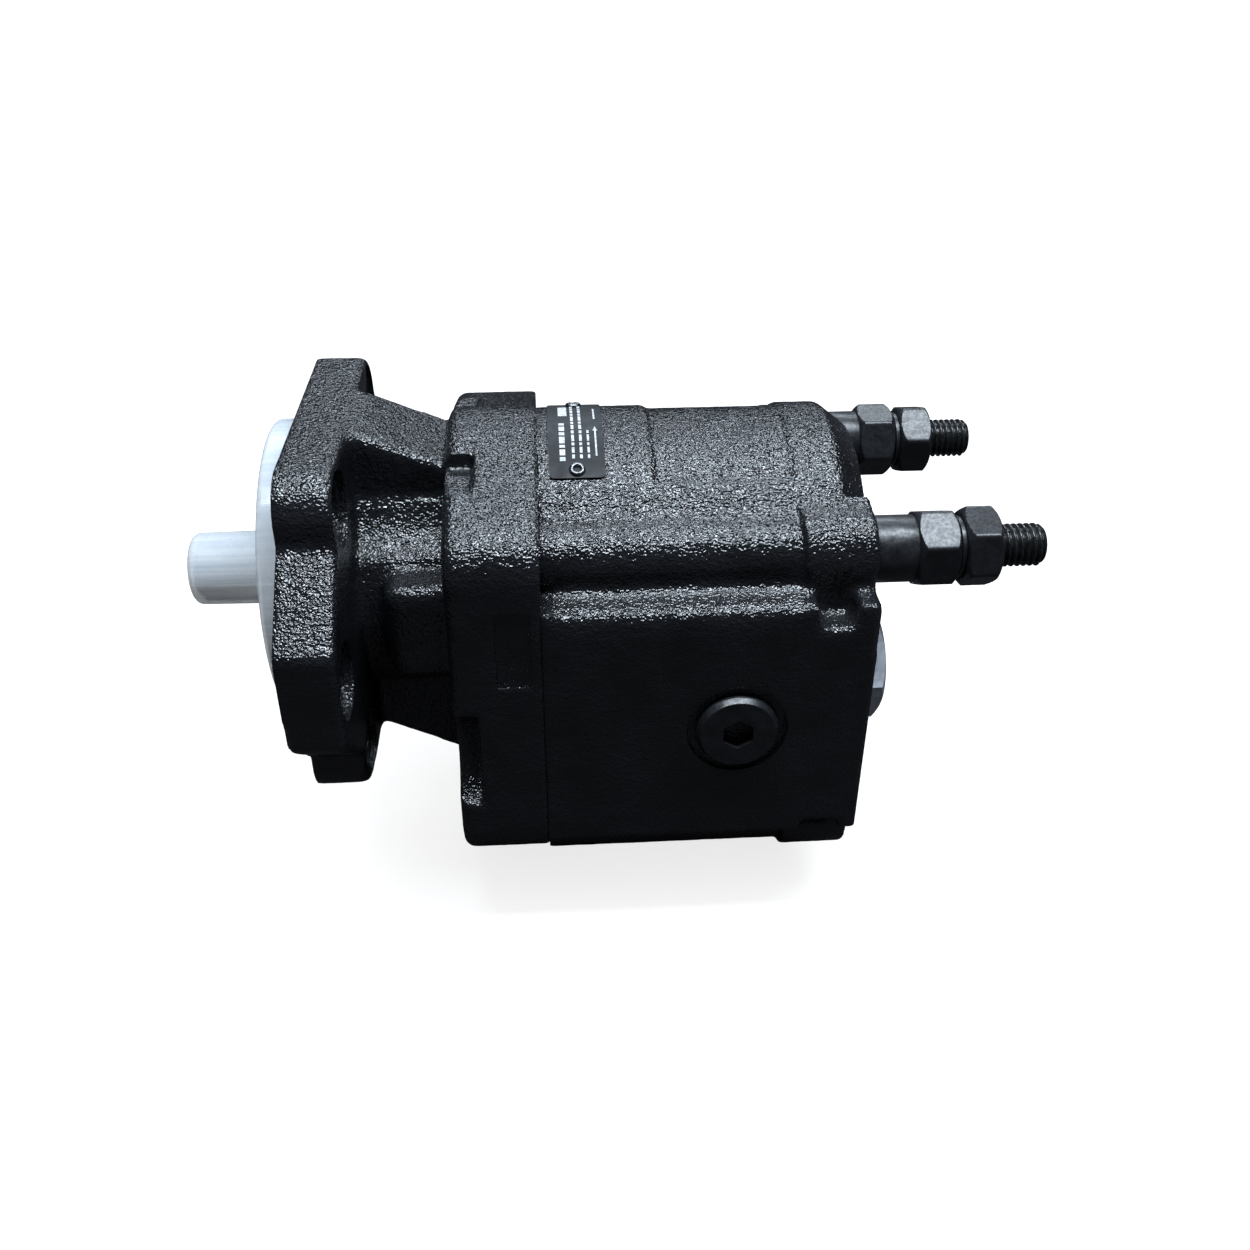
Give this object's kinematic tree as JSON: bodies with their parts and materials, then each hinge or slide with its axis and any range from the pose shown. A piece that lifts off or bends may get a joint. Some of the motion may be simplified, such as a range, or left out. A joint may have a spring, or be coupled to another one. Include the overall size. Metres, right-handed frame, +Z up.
{
  "type": "hydraulic gear pump",
  "caption": "External gear pump with a pilot mounting flange, splined drive shaft under a plastic cap, meshing gears, rear tie studs and hydraulic ports.",
  "frame": {"origin": "centre of the pilot on the mounting face of the flange, which is also the axis of the drive shaft", "axes": "+X back along the drive shaft towards the studs, +Z up from the driven gear to the drive gear, -Y towards the side with the small plugged port"},
  "size_m": [0.2883, 0.1746, 0.1756],
  "materials": {
    "black_casting": "black paint over rough cast iron, machined faces smoother",
    "black_steel": "glossy black oxide and oil on steel",
    "gear_steel": "ground and hardened steel",
    "spring_steel": "dark spring steel",
    "bearing_alloy": "machined bearing alloy",
    "bush_bronze": "plain bronze bush",
    "seal_rubber": "black nitrile rubber",
    "backup_plastic": "off-white plastic",
    "plate_paint": null,
    "rivet_metal": "dull domed rivet",
    "cap_plastic": "translucent white moulded plastic"
  },
  "bodies": {
    "housing": {"front_cover": "black_casting", "pump_body": "black_casting", "front_bearing_block": "bearing_alloy", "rear_bearing_block": "bearing_alloy", "drive_bushes": "bush_bronze", "driven_bushes": "bush_bronze", "front_pressure_seal": "seal_rubber", "front_backup_strip": "backup_plastic", "rear_pressure_seal": "seal_rubber", "rear_backup_strip": "backup_plastic", "body_o_ring": "seal_rubber", "inner_shaft_seal": "seal_rubber", "outer_shaft_seal": "seal_rubber", "seal_retaining_clip": "spring_steel", "dowel_pins": "gear_steel", "tie_studs": "black_steel", "sleeve_nuts": "black_steel", "lock_nuts": "black_steel", "socket_screws": "black_steel", "side_port_plug": "black_steel", "side_plug_ring": "seal_rubber", "outlet_adapter": "black_steel", "nameplate": "plate_paint", "nameplate_rivets": "rivet_metal"},
    "drive_shaft": {"drive_gear_shaft": "gear_steel"},
    "driven_gear": {"driven_gear_shaft": "gear_steel"},
    "shaft_cap": {"protective_cap": "cap_plastic"}
  },
  "joints": [
    {"name": "drive_spin", "type": "hinge", "parent": "housing", "child": "drive_shaft", "pos_m": [0, 0, 0], "axis": [1, 0, 0], "continuous": true},
    {"name": "driven_spin", "type": "hinge", "parent": "housing", "child": "driven_gear", "pos_m": [0, 0, -0.06], "axis": [1, 0, 0], "continuous": true},
    {"name": "cap_pull", "type": "slide", "parent": "housing", "child": "shaft_cap", "axis": [-1, 0, 0], "range_m": [0, 0.06]}
  ],
  "couplings": [
    {"joint": "driven_spin", "follows": "drive_spin", "ratio": -1}
  ]
}
